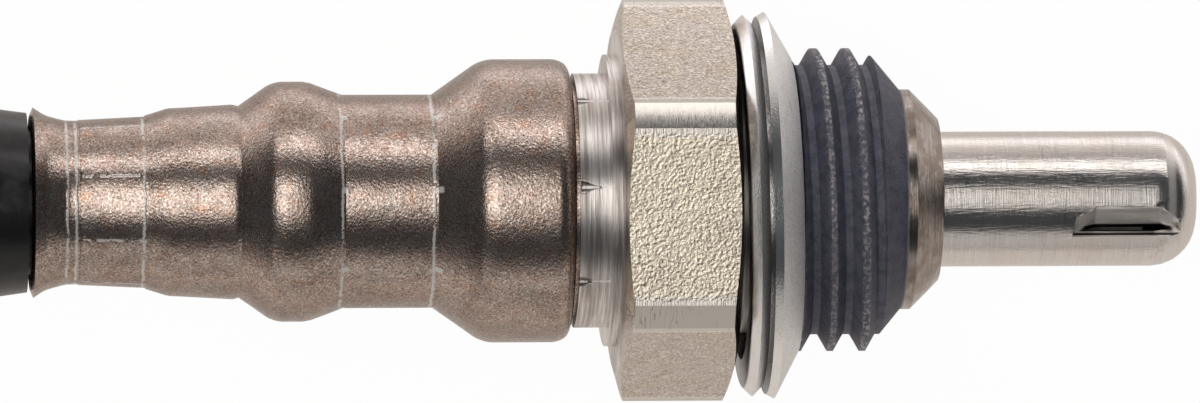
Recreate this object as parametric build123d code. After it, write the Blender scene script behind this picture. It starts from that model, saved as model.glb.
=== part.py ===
from build123d import *
from math import acos, atan2, copysign, cos, degrees, pi, radians, sin, tan
import os

# Oxygen sensor with a planar sensing strip, lying on one flat of its hexagon.
# Millimetres. +X runs along the sensor's axis from the lead end to the sensing tip, +Z is up.
# The origin is on the axis, in the plane of the hexagon's seat face, where the gasket bears.

# Hexagon and its shoulder
across_flats = 14.0
hex_corner_radius = 7.79        # the corners are turned down to this radius
hex_length = 4.58
hex_chamfer_angle = 16.0        # degrees, measured from the end faces
hex_chamfer_radius = 6.56       # where the chamfers start on the end faces
shoulder_radius = 5.66
shoulder_length = 0.39

# Thread: M12 x 1.25, right-hand
thread_major_radius = 5.88
thread_pitch = 1.25
thread_flank_angle = 30.0
thread_root_flat = 0.28
thread_depth = 0.65
relief_radius = 5.15
relief_length = 2.30
thread_start_x = 1.02           # start of the groove, below the axis
thread_end_x = 5.18             # where the end cone leaves the thread's crests
end_cone_length = 1.34

# Nose that holds the protection tube
nose_radius = 4.27
nose_land_length = 0.39
nose_cone_length = 0.70
nose_rounding = 0.40
nose_lip_length = 0.70
nose_tip_x = 8.0

# Bores and rim of the shell
packing_bore_radius = 3.35
packing_seat_x = 1.0
gas_bore_radius = 2.1
tower_clearance = 0.03          # between the tower and the sleeve's skirt
tower_left_x = -8.3
rolled_rim_radius = 2.9
rolled_rim_thickness = 0.42

# Crimp collar of the shell
collar_radius = 4.95
collar_wall = 0.40
collar_left_x = -6.17
collar_flare = 0.10
collar_floor_x = -5.15
skirt_clearance = 0.02          # between the collar and the sleeve's skirt

# Protection tube
tube_radius = 2.62
tube_wall = 0.40
tube_end_x = 18.06
tube_end_rounding = 1.75
tube_seat_radius = 2.80         # where the nose grips it
tube_seat_step = 0.08
tube_fit = 0.02
tube_flange_radius = 3.18
tube_flange_thickness = 0.36

# Louvres lanced into the protection tube
louvre_count = 3
louvre_slit_angle = -29.5       # degrees from +Z towards +Y
louvre_left_x = 12.9
louvre_right_x = 17.65
louvre_depth = 0.68
louvre_tool_radius = 2.15
louvre_tool_rounding = 1.1

# Folded crush gasket
gasket_sheet = 0.36
gasket_inner_radius = 5.77
gasket_fold_radius = 7.40
gasket_rim_radius = 7.50
gasket_height = 2.06
gasket_layer_step = 0.40
gasket_neck_gap = 0.12          # it hangs loose: least gap under the relief neck
gasket_side_shift = -0.19
gasket_tilt = 1.3               # degrees

# Outer sleeve
sleeve_wall = 0.35
mouth_x = -27.10
mouth_radius = 3.69
flare_x = -26.65                # where the mouth's flare gets steeper
flare_radius = 3.39
throat_radius = 3.17
throat_x = (-25.83, -25.36)
rear_band_x = (-25.36, -22.76)
rear_band_radii = (3.20, 3.31)
rear_bulge_x = (-21.90, -19.30)
rear_bulge_radii = (3.63, 3.78)
bead_groove_depth = 0.07
bead_groove_width = 0.30
middle_bulge_x = (-17.82, -16.50)
middle_bulge_radius = 4.65
front_band_x = (-15.18, -11.61)
front_band_radius = 4.11
front_bulge_x = -9.72
front_bulge_radius = 5.49
sleeve_shoulder_x = -6.31
skirt_end_gap = 0.04            # between the skirt's end and the collar's floor

# Eight-jaw crimping tool
jaw_count = 8
jaw_ratio = 1.15                # jaw radius over the crimped radius
jaw_bite = 0.05
rear_band_phase = -21.5         # degrees from +Z towards +Y of one ridge between two jaws
front_band_phase = 11.2

# Sensing strip
strip_width = 2.4
strip_thickness = 1.1
strip_x = (-13.4, 16.0)
strip_clearance = 0.06

# Ceramic and talc packing
bush_clearance = 0.04
seat_washer_thickness = 0.30
seat_washer_bore = 1.70
lower_insulator_length = 2.9
talc_length = 2.2
upper_insulator_left_x = -9.1
upper_spigot_radius = 2.60
press_ring_thickness = 0.55

# Contact holder and spring washer
spring_washer_bore = 1.60
spring_washer_radius = 2.95
spring_washer_sheet = 0.20
spring_washer_height = 0.45
holder_radius = 3.25
holder_x = (-15.2, -9.65)
holder_gap = 0.10
contact_slot_width = 0.92
contact_slot_depth = 1.15
holder_recess_depth = 0.20
clamp_ring_x = (-14.3, -12.3)
clamp_ring_wall = 0.45
clamp_ring_gap = 0.8

# Contacts, stamped from spring strip
contact_strip = 0.20
contact_width = 0.72
contact_pitch = 1.24
contact_bump_height = 0.16
contact_tip_x = -10.6
barrel_x = (-18.9, -16.9)
barrel_half = 0.60
barrel_wall = 0.14
barrel_circle_radius = 1.65

# Wire guide in the sleeve's middle bulge
guide_x = (-19.2, -15.6)
guide_radius = 3.15
guide_flange_radius = 4.24
guide_flange_x = (-17.75, -16.85)
guide_bore_clearance = 0.06

# Rubber grommet
grommet_inner_x = -19.65
grommet_outer_x = -29.5
grommet_body_radius = 3.22
grommet_neck_radius = 2.79
grommet_neck_gap = 0.15         # from the start of the sleeve's rear bulge
grommet_head_x = -27.35
grommet_head_radii = (3.74, 3.48)
lead_bore_radius = 0.70

# Roundings
easing_error = 0.055            # how far the chords of a rounding may leave its arc
smallest_easing = 0.10          # a smaller rounding stays a sharp corner

FULL = 60.0                     # longer and wider than any piece, for cutters and half spaces


def eased(corners):
    """Outline of (x, radius, rounding) corners, each rounding cut as a few short chords."""
    outline = []
    for k, (x, radius, *rounding) in enumerate(corners):
        corner = Vector(x, radius)
        if not rounding or rounding[0] < smallest_easing:
            outline.append(corner)
            continue
        before = (Vector(*corners[k - 1][:2]) - corner).normalized()
        after = (Vector(*corners[(k + 1) % len(corners)][:2]) - corner).normalized()
        turn = 180 - before.get_angle(after)
        start = corner + before * rounding[0] * tan(radians(turn / 2))
        centre = corner + (before + after).normalized() * rounding[0] / cos(radians(turn / 2))
        chords = max(1, round(turn / 2 / degrees(acos(1 - easing_error / rounding[0]))))
        for step in range(chords + 1):
            swung = radians(turn * step / chords)
            arm = (start - centre) * cos(swung) - before * rounding[0] * sin(swung)
            outline.append(centre + arm)
    return outline


def parallel(corners, distance):
    """Corners of the line at a distance to the left of a line of (x, radius, rounding) corners."""
    headings = [
        atan2(end[1] - start[1], end[0] - start[0])
        for start, end in zip(corners, corners[1:])
    ]
    result = []
    for corner, before, after in zip(corners, headings[:1] + headings, headings + headings[-1:]):
        half_turn = (after - before) / 2
        across = (after + before) / 2 + pi / 2
        reach = distance / cos(half_turn)
        rounding = corner[2] - copysign(1, half_turn) * distance if corner[2] else 0
        result.append((corner[0] + reach * cos(across), corner[1] + reach * sin(across), rounding))
    return result


def turned(*corners):
    """Solid of revolution about X from corners given as (x, radius) or (x, radius, rounding)."""
    return revolve(make_face(Polyline(*eased(corners), close=True)), Axis.X)


def rod(x0, x1, radius):
    """Plain cylinder on the sensor's axis."""
    return turned((x0, 0), (x0, radius), (x1, radius), (x1, 0))


def block(x, y, z):
    """Box between two x, two y and two z values."""
    size = [high - low for low, high in (x, y, z)]
    middle = [(high + low) / 2 for low, high in (x, y, z)]
    return Pos(*middle) * Box(*size)


def turned_to(angle, shape):
    """The shape turned about X by an angle in degrees, measured from +Z towards +Y."""
    return Rot(-angle, 0, 0) * shape


def around(count, first, shape):
    """Copies of the shape spaced evenly about X."""
    return [turned_to(first + 360 * k / count, shape) for k in range(count)]


def jaw_marks(x, radii, phase):
    """Cutter that leaves the shallow facets of the crimping jaws between two x values."""
    offset_down = (jaw_ratio - 1) * sum(radii) / 2
    jaw = turned((x[0], 0), (x[0], radii[0] * jaw_ratio), (x[1], radii[1] * jaw_ratio), (x[1], 0))
    facets = around(jaw_count, phase + 180 / jaw_count, Pos(0, 0, -offset_down) * jaw)
    core = facets[0]
    for facet in facets[1:]:
        core = core & facet
    return rod(x[0], x[1], 2 * max(radii)) - core


def thread_groove():
    """Helical V groove of the thread, from the relief neck out past the end cone."""
    over = 0.06
    half_root = thread_root_flat / 2
    half_mouth = half_root + (thread_depth + over) * tan(radians(thread_flank_angle))
    inner = thread_major_radius - thread_depth
    outer = thread_major_radius + over
    turns = round((thread_end_x + end_cone_length - thread_start_x) / thread_pitch) + 1
    section = [(inner, -half_root), (inner, half_root), (outer, half_mouth), (outer, -half_mouth)]
    lines = [
        (Pos(0, 0, shift) * Helix(thread_pitch, turns * thread_pitch, radius)).edges()[0]
        for radius, shift in section
    ]
    sides = [
        Face.make_surface_from_curves(line, following)
        for line, following in zip(lines, lines[1:] + lines[:1])
    ]
    ends = [
        Face(Wire.make_polygon([line.position_at(end) for line in lines], close=True))
        for end in (0, 1)
    ]
    return Pos(thread_start_x, 0, 0) * Rot(0, 90, 0) * Solid(Shell(sides + ends))


def hexagon_prism():
    """Endless hexagonal bar with flats facing +Z and -Z."""
    section = Plane.YZ * RegularPolygon(across_flats / 2, 6, major_radius=False)
    return extrude(section, FULL, both=True)


def skirt_radius():
    """Outer radius of the sleeve's skirt, which slips into the shell's collar."""
    return collar_radius - collar_wall - skirt_clearance


def hex_shell():
    """Steel body: rolled rim, crimp collar, hexagon, relief neck, thread and nose in one piece."""
    tower_radius = skirt_radius() - sleeve_wall - tower_clearance
    left = -hex_length
    chamfer = (hex_corner_radius - hex_chamfer_radius) * tan(radians(hex_chamfer_angle))
    cone_right = thread_end_x + end_cone_length
    land_right = cone_right + nose_land_length
    cone_tip = land_right + nose_cone_length
    lip_left = nose_tip_x - nose_lip_length
    flange_seat_x = lip_left - tube_flange_thickness
    rim_inside = tower_left_x + rolled_rim_thickness
    body = turned(
        (tower_left_x, rolled_rim_radius),
        (tower_left_x, tower_radius),
        (collar_floor_x, tower_radius),
        (collar_floor_x, collar_radius - collar_wall),
        (collar_left_x, collar_radius - collar_wall),
        (collar_left_x, collar_radius + collar_flare),
        (collar_left_x + 0.42, collar_radius),
        (left - shoulder_length, collar_radius),
        (left - shoulder_length, shoulder_radius),
        (left, shoulder_radius),
        (left, hex_chamfer_radius),
        (left + chamfer, hex_corner_radius),
        (-chamfer, hex_corner_radius),
        (0, hex_chamfer_radius),
        (0, relief_radius),
        (relief_length, relief_radius),
        (relief_length + 0.15, thread_major_radius),
        (thread_end_x, thread_major_radius),
        (cone_right, nose_radius),
        (land_right, nose_radius),
        (cone_tip, nose_radius - nose_cone_length, nose_rounding),
        (nose_tip_x, nose_radius - nose_cone_length - nose_rounding),
        (nose_tip_x, tube_seat_radius + tube_fit),
        (lip_left, tube_seat_radius + tube_fit),
        (lip_left, tube_flange_radius + tube_fit),
        (flange_seat_x, tube_flange_radius + tube_fit),
        (flange_seat_x, gas_bore_radius),
        (packing_seat_x, gas_bore_radius),
        (packing_seat_x, packing_bore_radius),
        (rim_inside, packing_bore_radius),
        (rim_inside, rolled_rim_radius),
    )
    body = body & hexagon_prism()
    band = (collar_left_x - 0.05, left - shoulder_length)
    body = body - jaw_marks(band, (collar_radius - 0.05, collar_radius - 0.05), front_band_phase)
    return body - thread_groove()


def sealing_gasket():
    """Crush ring folded from sheet: a closed outer fold, an inner fold and a conical free lip."""
    half = gasket_sheet / 2
    inner = gasket_inner_radius + half
    first_x = half + 0.02
    second_x = first_x + gasket_layer_step
    fold_x = gasket_height - half
    lip_x = second_x + gasket_sheet + 0.12
    middle = [
        (first_x, inner, 0),
        (first_x, gasket_fold_radius - half, gasket_layer_step / 2),
        (second_x, gasket_fold_radius - half, gasket_layer_step / 2),
        (second_x, inner, half),
        (fold_x, inner, 0.35),
        (lip_x, gasket_rim_radius - half / 2, 0),
    ]
    inside = [corner[:2] for corner in parallel(middle, -half)]
    ring = turned(*parallel(middle, half), *reversed(inside))
    lift = gasket_inner_radius - relief_radius - gasket_neck_gap
    lean = tan(radians(gasket_tilt)) * gasket_fold_radius
    return Pos(lean, gasket_side_shift, lift) * Rot(0, 0, gasket_tilt) * ring


def tube_body(radius, flange_x, end_x, rounding):
    """Solid bar with a rounded closed end, the outside or the inside of the protection tube."""
    return turned((flange_x, 0), (flange_x, radius), (end_x, radius, rounding), (end_x, 0))


def louvre_tool(growth):
    """Punch that presses one louvre inwards, on one side of its slit, grown by the sheet's wall."""
    centre_radius = tube_radius - louvre_depth + louvre_tool_radius
    radius = louvre_tool_radius + growth
    x0 = louvre_left_x - growth
    x1 = louvre_right_x + growth
    rounding = louvre_tool_rounding + growth
    punch = turned((x0, 0), (x0, radius, rounding), (x1, radius, rounding), (x1, 0))
    half = block((x0 - 1, x1 + 1), (0, FULL), (-FULL, FULL))
    return (Pos(0, 0, centre_radius) * punch) & half


def protection_tube():
    """Deep-drawn tube with a flanged mouth, a rounded end and lanced louvres."""
    flange_right = nose_tip_x - nose_lip_length - 0.01
    flange_x = flange_right - tube_flange_thickness + 0.02
    step_right = nose_tip_x + tube_seat_step
    outside = tube_body(tube_radius, flange_x, tube_end_x, tube_end_rounding)
    outside = outside + turned(
        (flange_x, 0),
        (flange_x, tube_flange_radius),
        (flange_right, tube_flange_radius),
        (flange_right, tube_seat_radius),
        (nose_tip_x, tube_seat_radius),
        (step_right, tube_radius),
        (step_right, 0),
    )
    inside = tube_body(
        tube_radius - tube_wall,
        flange_x - 1,
        tube_end_x - tube_wall,
        tube_end_rounding - tube_wall,
    )
    outside = outside - around(louvre_count, louvre_slit_angle, louvre_tool(0))
    inside = inside - around(louvre_count, louvre_slit_angle, louvre_tool(tube_wall))
    return outside - inside


def strip_slot(clearance):
    """Cutter for the sensing strip's cross-section."""
    half_width = strip_width / 2 + clearance
    half_height = strip_thickness / 2 + clearance
    return block((-FULL, FULL), (-half_width, half_width), (-half_height, half_height))


def sensing_element():
    """Co-fired ceramic strip with the sensing cell at its tip and contact pads at its other end."""
    half_width = strip_width / 2
    half_height = strip_thickness / 2
    strip = block(strip_x, (-half_width, half_width), (-half_height, half_height))
    return chamfer(strip.edges().filter_by(Axis.X), 0.12)


def seat_washer():
    """Metal washer on the shell's inner seat."""
    radius = packing_bore_radius - bush_clearance
    left = packing_seat_x - seat_washer_thickness
    washer = turned((left, 0), (left, radius), (packing_seat_x, radius), (packing_seat_x, 0))
    return washer - rod(left - 1, packing_seat_x + 1, seat_washer_bore)


def lower_insulator():
    """Ceramic bush below the talc."""
    right = packing_seat_x - seat_washer_thickness
    left = right - lower_insulator_length
    radius = packing_bore_radius - bush_clearance
    bush = turned((left, 0), (left, radius), (right, radius), (right, 0))
    return bush - strip_slot(strip_clearance)


def talc_packing():
    """Talc pressed into the bore and round the strip, which seals the exhaust from the air side."""
    right = packing_seat_x - seat_washer_thickness - lower_insulator_length
    return rod(right - talc_length, right, packing_bore_radius) - strip_slot(0)


def upper_insulator_shoulder():
    """The x of the shoulder under the press ring."""
    return tower_left_x + rolled_rim_thickness + press_ring_thickness


def upper_insulator():
    """Ceramic bush above the talc, with a spigot that stands out of the shell's rim."""
    right = packing_seat_x - seat_washer_thickness - lower_insulator_length - talc_length
    shoulder = upper_insulator_shoulder()
    radius = packing_bore_radius - bush_clearance
    bush = turned(
        (upper_insulator_left_x, 0),
        (upper_insulator_left_x, upper_spigot_radius),
        (shoulder, upper_spigot_radius),
        (shoulder, radius),
        (right, radius),
        (right, 0),
    )
    return bush - strip_slot(strip_clearance)


def press_ring():
    """Steel ring that spreads the rolled rim's load over the upper insulator."""
    left = tower_left_x + rolled_rim_thickness
    right = upper_insulator_shoulder()
    inner = upper_spigot_radius + bush_clearance
    outer = packing_bore_radius - bush_clearance
    return turned((left, inner), (left, outer), (right, outer), (right, inner))


def sleeve_outside():
    """Corners of the sleeve's outer surface from its mouth to the end of its skirt."""
    return [
        (mouth_x, mouth_radius),
        (flare_x, flare_radius),
        (throat_x[0], throat_radius),
        (throat_x[1], throat_radius),
        (rear_band_x[0] + 0.04, rear_band_radii[0] + jaw_bite),
        (rear_band_x[1], rear_band_radii[1] + jaw_bite),
        (rear_bulge_x[0], rear_bulge_radii[0], 0.6),
        (rear_bulge_x[1], rear_bulge_radii[1]),
        (rear_bulge_x[1] + bead_groove_width / 2, rear_bulge_radii[1] - bead_groove_depth),
        (middle_bulge_x[0], middle_bulge_radius, 0.7),
        (middle_bulge_x[1], middle_bulge_radius, 0.9),
        (front_band_x[0], front_band_radius + jaw_bite),
        (front_band_x[1], front_band_radius + jaw_bite),
        (front_bulge_x, front_bulge_radius, 0.8),
        (sleeve_shoulder_x, front_bulge_radius, 0.55),
        (sleeve_shoulder_x, skirt_radius()),
        (collar_floor_x - skirt_end_gap, skirt_radius()),
    ]


def sleeve_inside():
    """Corners of the sleeve's inner surface, one wall below the bends of the outer one."""
    bends = [
        (mouth_x, mouth_radius, 0),
        (throat_x[0], throat_radius, 0),
        (rear_band_x[1], throat_radius, 0),
        (rear_bulge_x[0], rear_bulge_radii[0], 0),
        (rear_bulge_x[1], rear_bulge_radii[0], 0),
        (middle_bulge_x[0], middle_bulge_radius, 0),
        (middle_bulge_x[1], middle_bulge_radius, 0),
        (front_band_x[0], front_band_radius, 0),
        (front_band_x[1], front_band_radius, 0),
        (front_bulge_x, front_bulge_radius, 0),
        (sleeve_shoulder_x, front_bulge_radius, 0),
        (sleeve_shoulder_x, skirt_radius(), 0),
        (collar_floor_x - skirt_end_gap, skirt_radius(), 0),
    ]
    return parallel(bends, -sleeve_wall)


def outer_sleeve():
    """Thin sleeve: flared mouth, crimp bands, bulges and a skirt that sits in the shell's collar."""
    sleeve = turned(*sleeve_outside(), *reversed(sleeve_inside()))
    sleeve = sleeve - jaw_marks(rear_band_x, rear_band_radii, rear_band_phase)
    return sleeve - jaw_marks(front_band_x, (front_band_radius, front_band_radius), front_band_phase)


def spring_washer():
    """Disc spring between the upper insulator and the contact holder."""
    right = upper_insulator_left_x
    left = right - spring_washer_height
    return turned(
        (left, spring_washer_radius),
        (left + spring_washer_sheet, spring_washer_radius),
        (right, spring_washer_bore),
        (right - spring_washer_sheet, spring_washer_bore),
    )


def holder_half(side):
    """One ceramic half of the contact holder, above (side 1) or below (side -1) the strip."""
    body = turned(
        (holder_x[0], 0),
        (holder_x[0], holder_radius),
        (clamp_ring_x[0] - 0.05, holder_radius),
        (clamp_ring_x[0] - 0.05, holder_radius - holder_recess_depth),
        (clamp_ring_x[1] + 0.05, holder_radius - holder_recess_depth),
        (clamp_ring_x[1] + 0.05, holder_radius),
        (holder_x[1], holder_radius),
        (holder_x[1], 0),
    )
    heights = sorted((side * holder_gap / 2, side * FULL))
    body = body & block((-FULL, FULL), (-FULL, FULL), heights)
    pocket_half = strip_width / 2 + strip_clearance
    pocket_height = strip_thickness / 2 + strip_clearance
    body = body - block((strip_x[0] - 0.3, FULL), (-pocket_half, pocket_half), (-pocket_height, pocket_height))
    slot_top = strip_thickness / 2 + contact_slot_depth
    for centre in (-contact_pitch / 2, contact_pitch / 2):
        width = (centre - contact_slot_width / 2, centre + contact_slot_width / 2)
        body = body - block((-FULL, contact_tip_x + 0.25), width, (-slot_top, slot_top))
    return body


def holder_clamp_ring():
    """Split spring ring that presses the two holder halves on the strip."""
    inner = holder_radius - holder_recess_depth
    outer = inner + clamp_ring_wall
    ring = turned(
        (clamp_ring_x[0], inner),
        (clamp_ring_x[0], outer),
        (clamp_ring_x[1], outer),
        (clamp_ring_x[1], inner),
    )
    half_gap = clamp_ring_gap / 2
    return ring - block((-FULL, FULL), (0, FULL), (-half_gap, half_gap))


def contact(side, level):
    """Stamped contact: spring blade on a pad of the strip, leg and open crimp barrel."""
    pad = strip_thickness / 2
    bump_x = contact_tip_x - 0.9
    blade_z = pad + contact_bump_height + contact_strip / 2
    leg_z = leg_height()
    line = Polyline(
        (contact_tip_x, blade_z + 0.12),
        (bump_x, pad + contact_strip / 2),
        (bump_x - 0.9, blade_z + 0.05),
        (strip_x[0] - 0.4, blade_z + 0.15),
        (strip_x[0] - 1.0, leg_z),
        (barrel_x[1] - 0.5, leg_z),
    )
    profile = Plane.XZ * trace(line, contact_strip)
    strip = Pos(0, contact_pitch / 2, 0) * extrude(profile, contact_width / 2, both=True)
    barrel_y = barrel_circle_radius * cos(radians(45))
    barrel_z = barrel_circle_radius * sin(radians(45))
    inner = barrel_half - barrel_wall
    barrel = block(barrel_x, (-barrel_half, barrel_half), (-barrel_half, barrel_half))
    barrel = barrel - block((-FULL, FULL), (-inner, inner), (-inner, FULL))
    shape = strip + Pos(0, barrel_y, barrel_z) * barrel
    if side < 0:
        shape = mirror(shape, Plane.XZ)
    if level < 0:
        shape = mirror(shape, Plane.XY)
    return shape


def leg_height():
    """Height of a contact's leg over the axis, level with the floor of its crimp barrel."""
    return barrel_circle_radius * sin(radians(45)) - barrel_half + barrel_wall / 2


def barrel_positions():
    """Centres of the four crimp barrels and lead bores."""
    reach = barrel_circle_radius * cos(radians(45))
    return [Pos(0, side * reach, level * reach) for side in (-1, 1) for level in (-1, 1)]


def wire_guide():
    """Rear insulator, centred by its flange in the sleeve's middle bulge."""
    body = turned(
        (guide_x[0], 0),
        (guide_x[0], guide_radius),
        (guide_flange_x[0], guide_radius),
        (guide_flange_x[0], guide_flange_radius),
        (guide_flange_x[1], guide_flange_radius),
        (guide_flange_x[1], guide_radius),
        (guide_x[1], guide_radius),
        (guide_x[1], 0),
    )
    bore_half = barrel_half + guide_bore_clearance
    bore = block((-FULL, FULL), (-bore_half, bore_half), (-bore_half, bore_half))
    body = body - [place * bore for place in barrel_positions()]
    slot_half = contact_strip / 2 + guide_bore_clearance
    slot_reach = (contact_pitch + contact_slot_width) / 2
    for level in (-leg_height(), leg_height()):
        height = (level - slot_half, level + slot_half)
        body = body - block((barrel_x[1] - 0.6, FULL), (-slot_reach, slot_reach), height)
    return body


def lead_grommet():
    """Rubber seal: body, neck under the rear crimp band and a head outside the sleeve's mouth."""
    neck_right = rear_bulge_x[0] + grommet_neck_gap
    body = turned(
        (grommet_outer_x, 0),
        (grommet_outer_x, grommet_head_radii[0] - 0.25),
        (grommet_outer_x + 0.25, grommet_head_radii[0]),
        (grommet_head_x, grommet_head_radii[1]),
        (grommet_head_x, grommet_neck_radius),
        (neck_right, grommet_neck_radius),
        (neck_right, grommet_body_radius),
        (grommet_inner_x, grommet_body_radius),
        (grommet_inner_x, 0),
    )
    bore = rod(-FULL, FULL, lead_bore_radius)
    return body - [place * bore for place in barrel_positions()]


PIECES = {
    "hex_shell": hex_shell,
    "sealing_gasket": sealing_gasket,
    "protection_tube": protection_tube,
    "sensing_element": sensing_element,
    "seat_washer": seat_washer,
    "lower_insulator": lower_insulator,
    "talc_packing": talc_packing,
    "upper_insulator": upper_insulator,
    "press_ring": press_ring,
    "outer_sleeve": outer_sleeve,
    "spring_washer": spring_washer,
    "contact_holder_upper": lambda: holder_half(1),
    "contact_holder_lower": lambda: holder_half(-1),
    "holder_clamp_ring": holder_clamp_ring,
    "signal_contact": lambda: contact(1, 1),
    "ground_contact": lambda: contact(-1, 1),
    "heater_contact_a": lambda: contact(1, -1),
    "heater_contact_b": lambda: contact(-1, -1),
    "wire_guide": wire_guide,
    "lead_grommet": lead_grommet,
}

os.makedirs("parts", exist_ok=True)
for name, make in PIECES.items():
    export_step(make(), f"parts/{name}.step")
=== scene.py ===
"""Oxygen sensor lying on one flat of its hexagon: finishes, light and camera round the CAD frame."""

import math

import bmesh
import bpy
from mathutils import Matrix, Vector


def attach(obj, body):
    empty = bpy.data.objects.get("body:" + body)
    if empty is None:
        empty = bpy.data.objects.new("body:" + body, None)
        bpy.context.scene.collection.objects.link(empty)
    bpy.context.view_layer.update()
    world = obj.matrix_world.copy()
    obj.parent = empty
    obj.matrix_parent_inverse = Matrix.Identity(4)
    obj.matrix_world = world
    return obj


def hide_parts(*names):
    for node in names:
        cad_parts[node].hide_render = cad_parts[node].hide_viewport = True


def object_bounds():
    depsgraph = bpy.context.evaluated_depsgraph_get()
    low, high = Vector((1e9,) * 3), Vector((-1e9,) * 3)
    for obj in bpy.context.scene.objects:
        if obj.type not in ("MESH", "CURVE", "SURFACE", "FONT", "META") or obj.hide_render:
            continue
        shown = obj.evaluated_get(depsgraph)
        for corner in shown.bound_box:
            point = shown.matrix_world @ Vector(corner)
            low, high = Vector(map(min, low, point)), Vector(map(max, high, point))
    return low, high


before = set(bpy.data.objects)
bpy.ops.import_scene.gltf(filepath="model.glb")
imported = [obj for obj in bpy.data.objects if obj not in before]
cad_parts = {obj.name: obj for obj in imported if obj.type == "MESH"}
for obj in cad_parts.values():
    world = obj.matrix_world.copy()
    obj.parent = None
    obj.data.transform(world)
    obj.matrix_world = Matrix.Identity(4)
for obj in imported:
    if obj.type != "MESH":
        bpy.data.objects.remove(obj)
cad_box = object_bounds()

# Lengths in metres, unless a comment says otherwise
MM = 0.001
MERGE_DISTANCE = 0.000001
TOUCH = 0.000004                # two places this close count as one
SOFT_JOINT = 13                 # degrees; a flatter joint needs no rounding
TUBE_END_ROUNDING = 0.00175
TUBE_PLAIN_LENGTH = 6 * MM      # the tube is plain for at least this far behind its end

# Turns round the axis, in degrees from +Z towards +Y
REAR_RIDGE_TURN = -21.5         # one ridge between the jaws on the sleeve's rear band
FRONT_RIDGE_TURN = 11.2         # one ridge on the sleeve's waist and on the shell's collar
JAW_HALF_PITCH = 22.5           # eight jaws
LOUVRE_TURN = -29.5             # one slit of the protection tube
LOUVRE_HALF_PITCH = 60.0        # three louvres
LIP_TURN = (-0.5, 4.5)          # from the slit, over the dent's lip, where shadow is painted in the opening
FLAT_HALF_TURN = 30.0           # half of what one flat of the hexagon takes

# Stretches along the axis, in millimetres from the hexagon's seat face
SCRAPED_RINGS = (-25.85, -25.50, -22.90, -15.30, -11.75)
REAR_BAND = (-25.30, -22.80)
SLEEVE_WAIST = (-15.10, -11.65)
SLEEVE_WAIST_ENDS = ((-15.34, -15.06), (-11.72, -11.42))
COLLAR_NOTCH = (-6.25, -5.40)
NOTCH_TAPER = (-6.17, -5.45)
COLLAR = (-6.2, -4.95)
HEXAGON = (-4.5, -0.08)
THREAD = (2.2, 6.55)
NOSE = (6.5, 8.2)
LOUVRE = (12.85, 17.70)
DENT_END = (17.0, 17.25)

# Distances from the axis, in millimetres; a mask rises or falls from the first to the second
HEX_RIM = (7.64, 7.70)
HEX_CORNER = (7.66, 7.74)
THREAD_CREST = (5.79, 5.95)
DENT_RADIUS = (2.50, 2.58)
CUT_CORE_RADIUS = (2.33, 2.50)
LIP_RADIUS = (2.10, 2.20)


# ---------------------------------------------------------------- node helpers


def place(tree, kind, **settings):
    """A new node with its properties set."""
    node = tree.nodes.new(kind)
    for name, value in settings.items():
        setattr(node, name, value)
    return node


def feed(tree, socket, value):
    """Links a socket to another, or writes a plain value on it."""
    if isinstance(value, bpy.types.NodeSocket):
        tree.links.new(value, socket)
    else:
        socket.default_value = value


def reckon(tree, operation, *values):
    """Math node; returns its result."""
    node = place(tree, "ShaderNodeMath", operation=operation)
    for socket, value in zip(node.inputs, values):
        feed(tree, socket, value)
    return node.outputs[0]


def remap(tree, value, low, high, to_low=0.0, to_high=1.0):
    """Smooth step of a value from one range to another."""
    node = place(tree, "ShaderNodeMapRange", interpolation_type="SMOOTHSTEP")
    for name, item in (("Value", value), ("From Min", low), ("From Max", high),
                       ("To Min", to_low), ("To Max", to_high)):
        feed(tree, node.inputs[name], item)
    return node.outputs["Result"]


def blend(tree, mask, first, second):
    """Mixes two colours by a mask."""
    node = place(tree, "ShaderNodeMix", data_type="RGBA")
    feed(tree, node.inputs["Factor"], mask)
    for name, item in (("A", first), ("B", second)):
        socket = [s for s in node.inputs if s.name == name and s.type == "RGBA"][0]
        feed(tree, socket, (*item, 1.0) if isinstance(item, tuple) and len(item) == 3 else item)
    return [s for s in node.outputs if s.type == "RGBA"][0]


def use(tree, group, **inputs):
    """Places a node group and sets its inputs; names use _ for a space."""
    node = place(tree, "ShaderNodeGroup", node_tree=group)
    for name, item in inputs.items():
        feed(tree, node.inputs[name.replace("_", " ")], item)
    return node


def new_group(name, inputs, outputs):
    """Empty shader node group with float sockets; returns the tree, its inputs and its outputs."""
    tree = bpy.data.node_groups.new(name, "ShaderNodeTree")
    for label, default in inputs:
        socket = tree.interface.new_socket(label, in_out="INPUT", socket_type="NodeSocketFloat")
        socket.default_value = default
    for label in outputs:
        tree.interface.new_socket(label, in_out="OUTPUT", socket_type="NodeSocketFloat")
    return tree, place(tree, "NodeGroupInput").outputs, place(tree, "NodeGroupOutput").inputs


def noise(tree, vector, scale, detail=2.0, rough=0.5):
    """Noise texture; returns its value, centred on 0.5."""
    node = place(tree, "ShaderNodeTexNoise")
    feed(tree, node.inputs["Vector"], vector)
    feed(tree, node.inputs["Scale"], scale)
    feed(tree, node.inputs["Detail"], detail)
    feed(tree, node.inputs["Roughness"], rough)
    return node.outputs["Fac"]


def stretched(tree, along, across):
    """Object coordinates in millimetres, scaled by one number along X and another across it."""
    source = place(tree, "ShaderNodeTexCoord").outputs["Object"]
    node = place(tree, "ShaderNodeVectorMath", operation="MULTIPLY")
    feed(tree, node.inputs[0], source)
    scale = place(tree, "ShaderNodeCombineXYZ")
    for name, item in (("X", along), ("Y", across), ("Z", across)):
        feed(tree, scale.inputs[name], reckon(tree, "MULTIPLY", item, 1 / MM))
    feed(tree, node.inputs[1], scale.outputs[0])
    return node.outputs[0]


# ---------------------------------------------------------------- shared effects


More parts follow.
